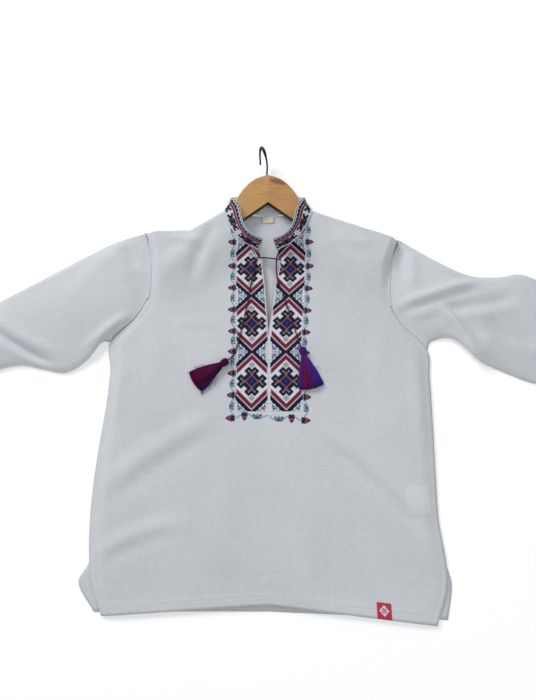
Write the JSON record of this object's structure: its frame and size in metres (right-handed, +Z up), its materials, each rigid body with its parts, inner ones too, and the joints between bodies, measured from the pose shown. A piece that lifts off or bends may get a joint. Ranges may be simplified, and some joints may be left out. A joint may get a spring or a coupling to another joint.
{
  "type": "vyshyvanka shirt on a coat hanger",
  "caption": "Long-sleeved white linen folk shirt with an embroidered stand collar, neck slit and tasselled lace, lying flat on a wooden coat hanger.",
  "frame": {"origin": "on the underside of the back panel, on the centre line at mid-body, where the shirt rests", "axes": "+X to the wearer's left, across the laid shirt; +Y from hem to collar; +Z up out of the front"},
  "size_m": [1.1917, 0.7297, 0.0453],
  "materials": {
    "white_linen": "matt plain weave",
    "embroidered_linen": "cross-stitched",
    "label_cotton": "matt",
    "woven_red": "woven",
    "honey_wood": "satin varnish",
    "black_steel": "black, satin",
    "maroon_cord": "twisted",
    "purple_thread": "silky"
  },
  "bodies": {
    "root": {"back": "white_linen", "front": "white_linen", "sleeve_left": "white_linen", "sleeve_right": "white_linen", "collar": "embroidered_linen", "neck_label": "label_cotton", "care_label": "label_cotton", "hem_tab": "woven_red", "hanger_left": "honey_wood", "hanger_right": "honey_wood", "hook": "black_steel", "lace_bar": "maroon_cord", "lace_left": "maroon_cord", "lace_right": "maroon_cord", "tassel_left": "maroon_cord", "tassel_right": "purple_thread"}
  },
  "joints": []
}
